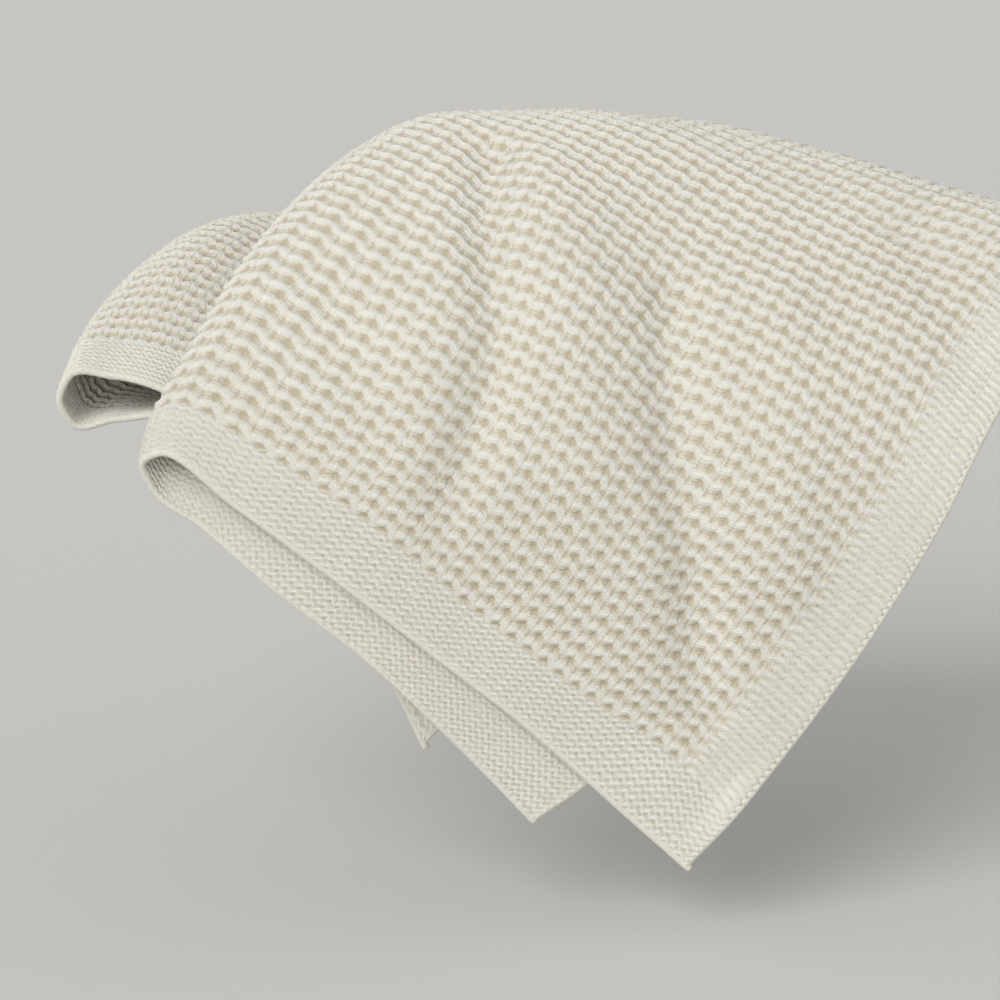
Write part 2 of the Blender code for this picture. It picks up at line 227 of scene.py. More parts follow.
def spline(knots, values, at):
    """A smooth curve through values at knots, straight on past both ends."""
    knots = np.asarray(knots, float)
    values = np.asarray(values, float)
    at = np.atleast_1d(np.asarray(at, float))
    step = np.diff(knots)
    slope = np.diff(values, axis=0) / step[:, None]
    tangent = np.empty_like(values)
    tangent[1:-1] = slope[:-1] * step[1:, None] + slope[1:] * step[:-1, None]
    tangent[1:-1] /= (step[1:] + step[:-1])[:, None]
    tangent[0] = 1.5 * slope[0] - 0.5 * tangent[1]
    tangent[-1] = 1.5 * slope[-1] - 0.5 * tangent[-2]
    inside = np.clip(at, knots[0], knots[-1])
    i = np.clip(np.searchsorted(knots, inside, side="right") - 1, 0, len(knots) - 2)
    width = step[i][:, None]
    t = (inside - knots[i])[:, None] / width
    point = (2 * t**3 - 3 * t**2 + 1) * values[i] + (t**3 - 2 * t**2 + t) * width * tangent[i]
    point += (3 * t**2 - 2 * t**3) * values[i + 1] + (t**3 - t**2) * width * tangent[i + 1]
    beyond = (at - inside)[:, None]
    return point + beyond * np.where(beyond < 0, tangent[0], tangent[-1])


def smooth(x):
    """0 below 0, 1 above 1, and an even S between."""
    x = np.clip(x, 0.0, 1.0)
    return x * x * (3.0 - 2.0 * x)


def unit(vector):
    return vector / np.linalg.norm(vector, axis=-1, keepdims=True)


def outer_leaf(u, v):
    """The leaf that faces out, for u under zero and v up to the last rail point."""
    columns = [spline(RAIL_V, RAILS[c], [v])[0] for c in RAILS]
    point = spline(list(RAILS), columns, [u])[0]
    ahead = PLY_AHEAD * (PLY - RAIL_PLY)
    ahead += RAIL_AHEAD * smooth(1 - (v - HANG_TOP) / HANG_FADE)
    return point + (0.0, SEAT_FRONT - ahead, AHEAD_RISE * ahead)


def outer_normal(u, v):
    """Out of the heap, square to the outer leaf."""
    step = 0.004
    across = outer_leaf(u + step, v) - outer_leaf(u - step, v)
    along = outer_leaf(u, v + step) - outer_leaf(u, v - step)
    return unit(np.cross(along, across))


def under_width(up):
    """How wide the under leaf lies, this far up from its hem."""
    return UNDER_LEAF - np.maximum(UNDER_TUCK - UNDER_SLANT * np.minimum(up, SLANT_UP), 0.0)


def under_leaf(u, v):
    """The leaf just below the outer one, for u above zero."""
    up = v + HALF
    past_fold = (u - FOLD_HALF) / FOLD_FADE
    at_edge = (u - DROP_EDGE[0]) / DROP_EDGE[1]
    drop = DROP_SHARES[0] + DROP_SHARES[1] * smooth(past_fold) + DROP_SHARES[2] * smooth(at_edge)
    low = v - UNDER_DROP * drop
    radius = UPPER_FOLD_PINCH
    radius += (UPPER_FOLD_RADIUS - UPPER_FOLD_PINCH) * (1 - smooth(up / PINCH_UP))
    depth = PLY + max(2 * radius - PLY, 0.0) * math.exp(-past_fold ** 2)
    mirrored = min(-u * under_width(up) / UNDER_LEAF, -FOLD_HALF)
    return outer_leaf(mirrored, low) - depth * outer_normal(mirrored, max(low, -HALF))


def over_seat(x, back, stand):
    """A point that stands off the seat: back is the distance behind its front edge."""
    radius = SEAT_EDGE_RADIUS + stand
    quarter = math.pi * radius / 4
    if back > quarter:
        return np.array((x, SEAT_FRONT + SEAT_EDGE_RADIUS + back - quarter, stand))
    if back < -quarter:
        return np.array((x, SEAT_FRONT - stand, back + quarter - SEAT_EDGE_RADIUS))
    angle = math.pi / 4 - back / radius
    y = SEAT_FRONT + SEAT_EDGE_RADIUS - radius * math.sin(angle)
    return np.array((x, y, radius * math.cos(angle) - SEAT_EDGE_RADIUS))


def lower_leaf(u, v):
    """The two leaves that lie under, joined by a loop at their lengthwise fold."""
    fold = spline(LOWER_V, LOWER_FOLD, [v])[0]
    edge = spline(LOWER_V, LOWER_EDGE, [v])[0]
    radius, sag = spline(LOWER_V, list(zip(LOOP_RADIUS, LOOP_SAG)), [v])[0]
    turn = np.clip(u / radius, -math.pi / 2, math.pi / 2)

    def inward(distance):
        if distance < radius * math.pi / 2:
            return radius * (1 - math.cos(distance / radius))
        return radius + distance - radius * math.pi / 2

    share = inward(abs(u)) / inward(WIDTH / 2)
    bow = 4 * share * (1 - share) * smooth((v - BOW_FROM) / BOW_RUN)
    place = fold + (edge - fold) * share + np.array(HEM_BOW) * bow
    above = (1 + math.sin(turn)) / 2
    point = over_seat(place[0], place[1], THICKNESS / 2 + LOWER_PLY * above)
    fallen = LOWER_FALL * smooth(share / FALL_SHARE)
    loop = max(2 * radius - LOWER_PLY, 0.0) * above * (1 - fallen)
    point[2] += loop * smooth((place[1] + LOOP_AHEAD) / LOOP_RISE)
    point[2] += sag * (1 - smooth(share / SAG_SHARE))
    return point


def fold_point(v):
    """The outermost point of the upper leaves' lengthwise fold."""
    top = outer_leaf(-FOLD_HALF, v)
    low = under_leaf(FOLD_HALF, v)
    out = top - outer_leaf(-FOLD_SIDE, v)
    down = unit(top - low)
    out = unit(out - down * np.dot(out, down))
    reach = FOLD_HALF - FOLD_TAKE * np.linalg.norm(top - low)
    return (top + low) / 2 + out * max(reach, FOLD_LEAST)


def upper_point(u, v):
    if u == 0.0:
        return fold_point(v)
    return outer_leaf(u, v) if u < 0.0 else under_leaf(u, v)


def control_net():
    """Rails for every column, from the front hem over the crosswise fold to the end hem."""
    rows = list(RAIL_V) + [0.0] + list(LOWER_V)
    net = []
    for u in COLUMNS:
        upper = [upper_point(u, v) for v in RAIL_V]
        lower = [lower_leaf(u, v) for v in LOWER_V]
        middle = (upper[-1] + lower[0]) / 2
        ahead = unit((upper[-1] - upper[-2]) * (1.0, 1.0, 0.0))
        turn = np.clip(u / BACK_TURN, -math.pi / 2, math.pi / 2)
        reach = BACK_REACH - BACK_NEST * (1 + math.sin(turn)) / 2
        net.append(upper + [middle + ahead * reach] + lower)
    return rows, np.array(net)


NET_ROWS, NET = control_net()


def sheet(us, vs):
    """Points of the sheet's middle surface, as an array of len(us) by len(vs) by 3."""
    rails = np.array([spline(NET_ROWS, rail, vs) for rail in NET])
    flat = spline(COLUMNS, rails.reshape(len(COLUMNS), -1), us)
    return flat.reshape(len(us), len(vs), 3)


def normals(us, vs, step=0.002):
    """Square to the sheet, out of the face that shows."""
    across = sheet(us + step, vs) - sheet(us - step, vs)
    along = sheet(us, vs + step) - sheet(us, vs - step)
    return unit(np.cross(along, across))


def near_path(u, v, path):
    """Distance from each place to the nearest point of a path."""
    best = np.full(np.broadcast(u, v).shape, np.inf)
    for (u0, v0), (u1, v1) in zip(path, path[1:]):
        du, dv = u1 - u0, v1 - v0
        share = ((u - u0) * du + (v - v0) * dv) / (du * du + dv * dv)
        share = np.clip(share, 0.0, 1.0)
        best = np.minimum(best, np.hypot(u - u0 - share * du, v - v0 - share * dv))
    return best


def soft_folds(us, vs):
    """How far the folds push the sheet along its normal, over a grid."""
    u = us[:, None]
    v = vs[None, :]
    up = v + HALF
    under = u > 0
    mirrored = np.where(under, -u * under_width(up) / UNDER_LEAF, u)
    total = np.zeros((len(us), len(vs)))
    for path, width, depth in SOFT_FOLDS:
        away = near_path(mirrored, v, path)
        outer = -depth * np.exp(-((away / width) ** 2))
        inner = UNDER_PRESS * max(depth, 0.0) * np.exp(-((away / (UNDER_SPREAD * width)) ** 2))
        total += np.where(under, inner, outer)
    total *= smooth((np.abs(u) - CALM_FOLD[0]) / CALM_FOLD[1])
    total *= smooth(-v / CALM_BACK) * smooth((up - CALM_HEM[0]) / CALM_HEM[1])
    curl = smooth((OUTER + CURL_WIDTH - u) / CURL_WIDTH) ** 2
    curl = curl * np.exp(-(((v - CURL_AT) / CURL_RUN) ** 2))
    return total + EDGE_CURL * curl


def surface(us, vs):
    """The middle of the sheet with its soft folds."""
    return sheet(us, vs) + normals(us, vs) * soft_folds(us, vs)[:, :, None]


def surface_normals(us, vs, step=0.003):
    across = surface(us + step, vs) - surface(us - step, vs)
    along = surface(us, vs + step) - surface(us, vs - step)
    return unit(np.cross(across, along))


def mesh_from(name, points, loops, sizes, flat_faces, attributes):
    """A mesh from arrays: corners face after face, and point attributes."""
    mesh = bpy.data.meshes.new(name)
    mesh.vertices.add(len(points))
    mesh.vertices.foreach_set("co", points.astype(np.float32).ravel())
    mesh.loops.add(len(loops))
    mesh.loops.foreach_set("vertex_index", loops.astype(np.int32))
    mesh.polygons.add(len(sizes))
    starts = np.concatenate(([0], np.cumsum(sizes)[:-1]))
    mesh.polygons.foreach_set("loop_start", starts.astype(np.int32))
    mesh.update(calc_edges=True)
    mesh.polygons.foreach_set("use_smooth", ~flat_faces)
    for key, values in attributes.items():
        kind, field = ("FLOAT_VECTOR", "vector") if values.ndim == 2 else ("FLOAT", "value")
        layer = mesh.attributes.new(key, kind, "POINT")
        layer.data.foreach_set(field, values.astype(np.float32).ravel())
    if mesh.validate():
        raise RuntimeError(name + " has faces that cannot be built")
    return mesh


def grid_faces(columns, rows, first, flip):
    """The corners of a grid's quads, from its first point on."""
    i, j = np.meshgrid(np.arange(columns - 1), np.arange(rows - 1), indexing="ij")
    a = (first + i * rows + j).ravel()
    quads = np.stack([a, a + rows, a + rows + 1, a + 1], axis=1)
    return quads[:, ::-1] if flip else quads


def lipped(start, end, step, back, at_edges):
    """Marks from start to end, and how far each is sunk.

    Past an end that meets another piece the marks run on a little, just below that
    piece's face, so that no seam shows.
    """
    cells = back * max(1, round((end - start) / step / back))
    size = (end - start) / cells
    lip = max(2, back)
    before = 0 if at_edges[0] else lip
    after = 0 if at_edges[1] else lip
    index = np.arange(-before, cells + after + 1)
    past = np.maximum(np.maximum(-index, index - cells), 0)
    return start + size * index, np.select([past == 0, past == 1], [0.0, LIP_FIRST], LIP_REST)


def slab(name, u_range, v_range, u_step, v_step, back=2):
    """A closed piece of the sheet. The back face's cells are that many times larger."""
    us, u_sunk = lipped(*u_range, u_step, back, (u_range[0] == OUTER, u_range[1] == INNER))
    vs, v_sunk = lipped(*v_range, v_step, back, (v_range[0] == FRONT, v_range[1] == END))
    columns, rows = len(us), len(vs)
    middle = surface(us, vs)
    normal = surface_normals(us, vs)
    u_all, v_all = np.meshgrid(us, vs, indexing="ij")
    garter = garter_share(u_all, v_all)
    half = THICKNESS / 2 - np.maximum(u_sunk[:, None], v_sunk[None, :])
    front = middle + normal * half[:, :, None]
    pick = (slice(None, None, back), slice(None, None, back))
    rear = (middle - normal * half[:, :, None])[pick]
    few_columns, few_rows = rear.shape[:2]
    count = columns * rows

    def both(values, flip=1.0):
        tail = values.shape[2:]
        return np.concatenate([values.reshape(-1, *tail), flip * values[pick].reshape(-1, *tail)])

    points = np.concatenate([front.reshape(-1, 3), rear.reshape(-1, 3)])
    walls = []
    for i in range(few_columns - 1):
        top = [(i * back + k) * rows for k in range(back, -1, -1)]
        low = [count + i * few_rows, count + (i + 1) * few_rows]
        walls.append(low + top)
        last = [x + rows - 1 for x in top]
        walls.append([x + few_rows - 1 for x in low][::-1] + last[::-1])
    for j in range(few_rows - 1):
        top = [j * back + k for k in range(back, -1, -1)]
        low = [count + j, count + j + 1]
        walls.append(low[::-1] + top[::-1])
        shift = (columns - 1) * rows
        low_shift = (few_columns - 1) * few_rows
        walls.append([x + low_shift for x in low] + [x + shift for x in top])
    face_quads = grid_faces(columns, rows, 0, False)
    back_quads = grid_faces(few_columns, few_rows, count, True)
    loops = np.concatenate([face_quads.ravel(), back_quads.ravel(), np.array(walls).ravel()])
    plain = len(face_quads) + len(back_quads)
    sizes = np.concatenate([np.full(plain, 4), np.full(len(walls), back + 3)])
    flat = np.arange(len(sizes)) >= plain
    attributes = {
        "across": both(u_all),
        "along": both(v_all),
        "garter": both(garter),
        "face": both(np.ones_like(u_all), -1.0),
        "out": both(normal, -1.0),
    }
    return mesh_from(name, points, loops, sizes, flat, attributes)


def garter_share(u, v):
    """1 in the borders, 0 in the waffle field."""
    inside = np.minimum(
        np.minimum(u - OUTER_LINE, INNER_LINE - u), np.minimum(v - FRONT_LINE, END_LINE - v)
    )
    return 1.0 - smooth(inside / BORDER_BLEND + 0.5)


class Sums:
    """Writes arithmetic on fields as Math nodes of one tree."""

    def __init__(self, tree):
        self.tree = tree

    def __call__(self, operation, *values):
        node = self.tree.nodes.new("ShaderNodeMath")
        node.operation = operation
        for socket, value in zip(node.inputs, values):
            if isinstance(value, (int, float)):
                socket.default_value = value
            else:
                self.tree.links.new(value, socket)
        return node.outputs[0]

    def add(self, a, b):
        return self("ADD", a, b)

    def less(self, a, b):
        return self("SUBTRACT", a, b)

    def times(self, a, b):
        return self("MULTIPLY", a, b)

    def over(self, a, b):
        return self("DIVIDE", a, b)

    def wave(self, turns, power=1.0):
        """0 to 1 and back once a turn, 1 at whole turns."""
        swing = self("COSINE", self.times(turns, 2 * math.pi))
        half = self("MULTIPLY_ADD", swing, 0.5, 0.5)
        return half if power == 1.0 else self("POWER", half, power)

    def mix(self, share, a, b):
        return self.add(a, self.times(share, self.less(b, a)))


# The knitting's shape. Bends and shifts are in rows, powers narrow a wave, and heights are
# shares of the waffle's depth or of the garter ridge's height.
DRIFT = 0.0045  # how far uneven stitches wander, in metres
BACK_SHIFT = (0.25, 0.8)  # how far the back face's columns and rows are shifted
WAFFLE_BEND = 0.27  # how far a ridge bends from beside a hole to above it
RIDGE_POWER = 1.9
RIDGE_HEIGHT = 0.82
RIB_HEIGHT = 0.15
PAIR_HEIGHT = 0.12  # of the two yarns that make a ridge, above the rest of it
HOLE_AFTER = 0.36  # how far a hole's middle comes before the next ridge
HOLE_POWERS = (1.6, 1.5)  # along and across
HOLE_DEPTH = 0.42
WAFFLE_RAISE = 0.09
WAFFLE_LEVEL = 0.55  # the height that lies on the smooth sheet
GARTER_BENDS = (0.32, 0.45)  # how far a ridge bends with each stitch, beside the field and in the hems
GARTER_POWER = 0.75
GARTER_DENT = -0.06  # twice in each stitch
GARTER_LEVEL = 0.60
GARTER_TONE = (0.84, 0.09)  # a ridge's part of its tone, and the rest: painted shade, darker in the valleys between ridges
LUMPS = 0.9  # how much uneven stitches differ in height
FIBRES = 0.0026  # how high the finest unevenness stands, in metres
STRANDS_A_ROW = (5.0, 2.0)  # in the waffle, and for each garter ridge

RELIEF_INPUTS = (
    ("Column pitch", "column_pitch"),
    ("Row pitch", "row_pitch"),
    ("Waffle depth", "waffle_depth"),
    ("Stitch width", "stitch_width"),
    ("Ridge pitch", "ridge_pitch"),
    ("Ridge height", "ridge_height"),
    ("Unevenness", "unevenness"),
)


def relief_tree():
    """Lifts a smooth sheet into knitting, from its across, along, face and out attributes."""
    tree = bpy.data.node_groups.new("knit_relief", "GeometryNodeTree")
    face = tree.interface
    face.new_socket("Geometry", in_out="INPUT", socket_type="NodeSocketGeometry")
    for label, _ in RELIEF_INPUTS:
        face.new_socket(label, in_out="INPUT", socket_type="NodeSocketFloat")
    face.new_socket("Seed", in_out="INPUT", socket_type="NodeSocketFloat")
    face.new_socket("Material", in_out="INPUT", socket_type="NodeSocketMaterial")
    face.new_socket("Geometry", in_out="OUTPUT", socket_type="NodeSocketGeometry")
    nodes, links = tree.nodes, tree.links
    start = nodes.new("NodeGroupInput")
    end = nodes.new("NodeGroupOutput")
    put = Sums(tree)

    def named(key, kind="FLOAT"):
        node = nodes.new("GeometryNodeInputNamedAttribute")
        node.data_type = kind
        node.inputs["Name"].default_value = key
        return node.outputs["Attribute"]

    given = {label: start.outputs[label] for label, _ in RELIEF_INPUTS}
    across, along, side = named("across"), named("along"), named("face")
    place = nodes.new("ShaderNodeCombineXYZ")
    links.new(across, place.inputs[0])
    links.new(along, place.inputs[1])

    def noise(scale, shift, detail=1.0):
        node = nodes.new("ShaderNodeTexNoise")
        node.noise_dimensions = "4D"
        links.new(place.outputs[0], node.inputs["Vector"])
        links.new(put.add(start.outputs["Seed"], shift), node.inputs["W"])
        node.inputs["Scale"].default_value = scale
        node.inputs["Detail"].default_value = detail
        return put.less(node.outputs[0], 0.5)

    drift = put.times(given["Unevenness"], DRIFT)
    u = put.add(across, put.times(drift, noise(38.0, 0.0)))
    v = put.add(along, put.times(drift, noise(45.0, 7.3)))
    back = put.times(put.less(1.0, side), BACK_SHIFT[0])

    # Waffle: zig-zag ridges, pointed above each hole, and low ribs between the holes
    columns = put.add(put.over(u, given["Column pitch"]), back)
    rib = put.times(put("ABSOLUTE", put.less(put("FRACT", columns), 0.5)), 2.0)
    rows = put.over(put.less(v, FRONT_LINE), given["Row pitch"])
    rows = put.add(rows, put.add(put.times(rib, WAFFLE_BEND), put.times(back, BACK_SHIFT[1])))
    ridge = put.wave(rows, RIDGE_POWER)
    valley = put.less(1.0, ridge)
    hole_along = put.wave(put.add(rows, HOLE_AFTER), HOLE_POWERS[0])
    hole = put.times(hole_along, put.wave(put.add(columns, 0.5), HOLE_POWERS[1]))
    pair = put.wave(put.add(put.times(columns, 2.0), 0.5))
    waffle = put.times(ridge, RIDGE_HEIGHT)
    waffle = put.add(waffle, put.times(put.times(rib, valley), RIB_HEIGHT))
    waffle = put.add(waffle, put.times(put.times(pair, ridge), PAIR_HEIGHT))
    waffle = put.less(waffle, put.times(put.times(hole, valley), HOLE_DEPTH))
    waffle = put.add(waffle, WAFFLE_RAISE)

    # Garter: wavy ridges one above another, each a row of short loops. Beside the field
    # there are two ridges to each row of holes.
    stitches = put.over(u, given["Stitch width"])
    from_front = put.less(v, FRONT_LINE)
    in_hems = put.add(put("MINIMUM", from_front, 0.0), put("MAXIMUM", put.less(v, END_LINE), 0.0))
    beside = put("MAXIMUM", put("MINIMUM", from_front, END_LINE - FRONT_LINE), 0.0)
    lines = put.over(in_hems, given["Ridge pitch"])
    lines = put.add(lines, put.over(beside, put.times(given["Row pitch"], 0.5)))
    in_hem = put("GREATER_THAN", put("ABSOLUTE", in_hems), 0.0)
    bend = put.mix(in_hem, *GARTER_BENDS)
    lines = put.add(lines, put.add(put.times(put.wave(stitches), bend), back))
    garter = put.wave(lines, GARTER_POWER)
    garter = put.add(garter, put.times(put.wave(put.times(stitches, 2.0)), GARTER_DENT))

    border = named("garter")
    lumps = put.add(1.0, put.times(given["Unevenness"], put.times(noise(140.0, 3.1, 2.0), LUMPS)))
    height = put.mix(
        border,
        put.times(put.less(waffle, WAFFLE_LEVEL), given["Waffle depth"]),
        put.times(put.less(garter, GARTER_LEVEL), given["Ridge height"]),
    )
    fibres = put.times(put.times(noise(300.0, 9.1, 2.0), FIBRES), given["Unevenness"])
    height = put.add(put.times(height, lumps), fibres)
    # Painted shade: the colour tone follows the stitches' height, so the material darkens and warms
    # the waffle holes and the valleys between ridges
    tone = put.mix(border, waffle, put.add(put.times(garter, GARTER_TONE[0]), GARTER_TONE[1]))
    strand = put.mix(border, put.times(rows, STRANDS_A_ROW[0]), put.times(lines, STRANDS_A_ROW[1]))
    joint = put.mix(border, put.times(columns, 2.0), put.add(stitches, 0.5))

    source = start.outputs["Geometry"]
    # The stored relief attribute is this tone, which the material's colour ramp turns into painted
    # shade
    for key, value in (("relief", tone), ("strand", strand), ("joint", joint)):
        keep = nodes.new("GeometryNodeStoreNamedAttribute")
        keep.data_type = "FLOAT"
        keep.domain = "POINT"
        keep.inputs["Name"].default_value = key
        links.new(source, keep.inputs["Geometry"])
        links.new(value, keep.inputs["Value"])
        source = keep.outputs["Geometry"]
    push = nodes.new("ShaderNodeVectorMath")
    push.operation = "SCALE"
    links.new(named("out", "FLOAT_VECTOR"), push.inputs[0])
    links.new(height, push.inputs["Scale"])
    move = nodes.new("GeometryNodeSetPosition")
    links.new(source, move.inputs["Geometry"])
    links.new(push.outputs[0], move.inputs["Offset"])
    real = nodes.new("GeometryNodeRealizeInstances")
    links.new(move.outputs[0], real.inputs[0])
    paint = nodes.new("GeometryNodeSetMaterial")
    links.new(real.outputs[0], paint.inputs["Geometry"])
    links.new(start.outputs["Material"], paint.inputs["Material"])
    links.new(paint.outputs[0], end.inputs[0])
    return tree


def socket_id(tree, label):
    for item in tree.interface.items_tree:
        if item.in_out == "INPUT" and item.name == label:
            return item.identifier
    raise RuntimeError("the tree has no input named " + label)


def knitted(name, base, tree, inputs, paint):
    """The base mesh, run through a tree once and kept as a plain mesh."""
    rough = bpy.data.objects.new(name + "_base", base)
    bpy.context.scene.collection.objects.link(rough)
    worker = rough.modifiers.new("knit", "NODES")
    worker.node_group = tree
    for label, value in inputs.items():
        worker[socket_id(tree, label)] = value
    worker[socket_id(tree, "Material")] = paint
    ready = rough.evaluated_get(bpy.context.evaluated_depsgraph_get())
    mesh = bpy.data.meshes.new_from_object(ready)
    mesh.name = name
    rough.modifiers.remove(worker)
    bpy.data.objects.remove(rough)
    bpy.data.meshes.remove(base)
    for spare in ("out", "face", "across", "along"):
        layer = mesh.attributes.get(spare)
        if layer is not None:
            mesh.attributes.remove(layer)
    if not mesh.materials:
        mesh.materials.append(paint)
    piece = bpy.data.objects.new(name, mesh)
    bpy.context.scene.collection.objects.link(piece)
    return piece


# How much strands, the gaps between stitches and the nap change a tone of 0 to 1; darkening the gaps
# is painted shade
STRAND_TONE = 0.12
GAP_SHADE = 0.30
NAP_TONE = 1.1
# How high each stands in the bump, in metres
STRAND_BUMP = 0.00055
GAP_BUMP = -0.00090
NAP_BUMP = 0.00360
FLUFF_BUMP = 0.00090


def yarn_material(name, colours):
    """Cream wool with a fine fibre, and painted shade: pale on the ridges, darker and warmer down in
    the valleys and between the stitches.
    """
    made = bpy.data.materials.new(name)
    made.use_nodes = True
    nodes, links = made.node_tree.nodes, made.node_tree.links
    put = Sums(made.node_tree)
    spot = nodes.new("ShaderNodeTexCoord")

    def layer(key):
        node = nodes.new("ShaderNodeAttribute")
        node.attribute_name = key
        return node.outputs["Fac"]

    def noise(scale, detail, roughness):
        node = nodes.new("ShaderNodeTexNoise")
        node.inputs["Scale"].default_value = scale
        node.inputs["Detail"].default_value = detail
        node.inputs["Roughness"].default_value = roughness
        links.new(spot.outputs["Object"], node.inputs["Vector"])
        return put.less(node.outputs[0], 0.5)

    mottle = noise(9.0, 5.0, 0.5)
    nap = noise(430.0, 4.0, 0.75)
    fluff = noise(1500.0, 3.0, 0.75)
    # Strands and joints fade out where the waffle turns into garter stitch
    border = put.less(put.times(layer("garter"), 2.0), 1.0)
    clear = put("POWER", put("ABSOLUTE", border), 6.0)
    strand = put.times(put.wave(layer("strand")), clear)
    field = put.less(1.0, put.times(layer("garter"), 0.75))
    # Painted shade: narrow dark lines in the gaps between stitches
    gap = put.times(put.times(put.wave(layer("joint"), 4.0), clear), field)
    tone = put.add(layer("relief"), put.times(strand, STRAND_TONE))
    tone = put.less(tone, put.times(gap, GAP_SHADE))
    tone = put.add(tone, put.times(nap, NAP_TONE))
    # The ramp paints shade: low tone, in holes, valleys and gaps, takes the darker, warmer colours,
    # and high tone the yarn's colour
    ramp = nodes.new("ShaderNodeValToRGB")
    stops = ramp.color_ramp.elements
    stops[0].position = 0.0
    stops[0].color = (*colours.shade, 1.0)
    stops[1].position = 0.95
    stops[1].color = (*colours.yarn, 1.0)
    middle = stops.new(0.38)
    middle.color = (*colours.between, 1.0)
    links.new(tone, ramp.inputs["Fac"])
    tint = nodes.new("ShaderNodeVectorMath")
    tint.operation = "SCALE"
    links.new(ramp.outputs["Color"], tint.inputs[0])
    fine = put.add(put.times(fluff, 0.30), put.times(nap, 0.22))
    links.new(put.add(0.99, put.add(put.times(mottle, 0.12), fine)), tint.inputs["Scale"])
    height = put.add(put.times(strand, STRAND_BUMP), put.times(gap, GAP_BUMP))
    height = put.add(height, put.add(put.times(nap, NAP_BUMP), put.times(fluff, FLUFF_BUMP)))
    bump = nodes.new("ShaderNodeBump")
    bump.inputs["Strength"].default_value = colours.nap
    bump.inputs["Distance"].default_value = 1.0
    links.new(height, bump.inputs["Height"])
    shader = nodes["Principled BSDF"]
    shader.inputs["Roughness"].default_value = colours.roughness
    shader.inputs["Sheen Weight"].default_value = colours.sheen
    shader.inputs["Sheen Roughness"].default_value = 0.55
    shader.inputs["Sheen Tint"].default_value = (0.98, 0.95, 0.88, 1.0)
    shader.inputs["Specular IOR Level"].default_value = 0.10
    links.new(tint.outputs[0], shader.inputs["Base Color"])
    links.new(bump.outputs["Normal"], shader.inputs["Normal"])
    made.diffuse_color = (*colours.yarn, 1.0)
    return made


class ThrowKnit(bpy.types.PropertyGroup):
    """The stitches' sizes."""

    column_pitch: bpy.props.FloatProperty(
        name="Waffle column", description="From one waffle hole to the next, across",
        default=0.0204, unit="LENGTH",
    )
    row_pitch: bpy.props.FloatProperty(
        name="Waffle row", description="From one row of waffle holes to the next",
        default=0.0175, unit="LENGTH",
    )
    waffle_depth: bpy.props.FloatProperty(
        name="Waffle depth", description="From the ridges to the bottom of the holes",
        default=0.0050, unit="LENGTH",
    )
    stitch_width: bpy.props.FloatProperty(
        name="Garter stitch width", description="Width of one garter stitch",
        default=0.0102, unit="LENGTH",
    )
    ridge_pitch: bpy.props.FloatProperty(
        name="Garter ridge pitch", description="From one garter ridge to the next",
        default=0.0070, unit="LENGTH",
    )
    ridge_height: bpy.props.FloatProperty(
        name="Garter ridge height", description="How far a garter ridge stands up",
        default=0.0027, unit="LENGTH",
    )
    unevenness: bpy.props.FloatProperty(
        name="Unevenness", description="How uneven the stitches are, from 0, even, to 1",
        default=0.45, subtype="FACTOR",
    )
    cell: bpy.props.FloatProperty(
        name="Cell", description="Size of the outer leaf's cells, across",
        default=0.00185, unit="LENGTH",
    )


class ThrowYarn(bpy.types.PropertyGroup):
    """The yarn's colour and surface, with the painted shade of its valleys and of the gaps between its
    stitches.
    """

    yarn: bpy.props.FloatVectorProperty(
        name="Yarn", description="Colour of the ridges", default=(0.92, 0.910, 0.848),
        size=3, subtype="COLOR",
    )
    # Painted shade: the colour for the valleys between ridges
    between: bpy.props.FloatVectorProperty(
        name="Valleys", description="Colour of the valleys between the ridges",
        default=(0.83, 0.80, 0.70), size=3, subtype="COLOR",
    )
    # Painted shade: the darkest colour, deep in the holes and between the stitches
    shade: bpy.props.FloatVectorProperty(
        name="Between stitches", description="Colour deep between the stitches",
        default=(0.62, 0.55, 0.41), size=3, subtype="COLOR",
    )
    roughness: bpy.props.FloatProperty(
        name="Roughness", description="Roughness of the wool", default=0.92, subtype="FACTOR",
    )
    nap: bpy.props.FloatProperty(
        name="Nap", description="Strength of the yarn's fine strands and fibres", default=0.9,
        subtype="FACTOR",
    )
    sheen: bpy.props.FloatProperty(
        name="Sheen", description="Strength of the wool's soft sheen", default=0.30,
        subtype="FACTOR",
    )


class ThrowStage(bpy.types.PropertyGroup):
    """The floor, the lights and the camera."""

    floor_depth: bpy.props.FloatProperty(
        name="Floor depth", description="From the seat plane down to the floor",
        default=0.50, unit="LENGTH",
    )
    floor_colour: bpy.props.FloatVectorProperty(
        name="Floor", description="Colour of the floor", default=(0.56, 0.55, 0.52),
        size=3, subtype="COLOR",
    )
    key_power: bpy.props.FloatProperty(
        name="Key light", description="Strength of the soft key light", default=2.00,
    )
    ambient: bpy.props.FloatProperty(
        name="Ambient", description="Strength of the even light from all round",
        default=0.63,
    )
    lens: bpy.props.FloatProperty(
        name="Lens", description="The camera's focal length, in millimetres", default=117.0,
    )


def finish_piece(piece, replaced):
    """Attaches a piece to the root body and hides the CAD parts that it replaces."""
    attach(piece, "root")
    if replaced:
        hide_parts(*replaced)


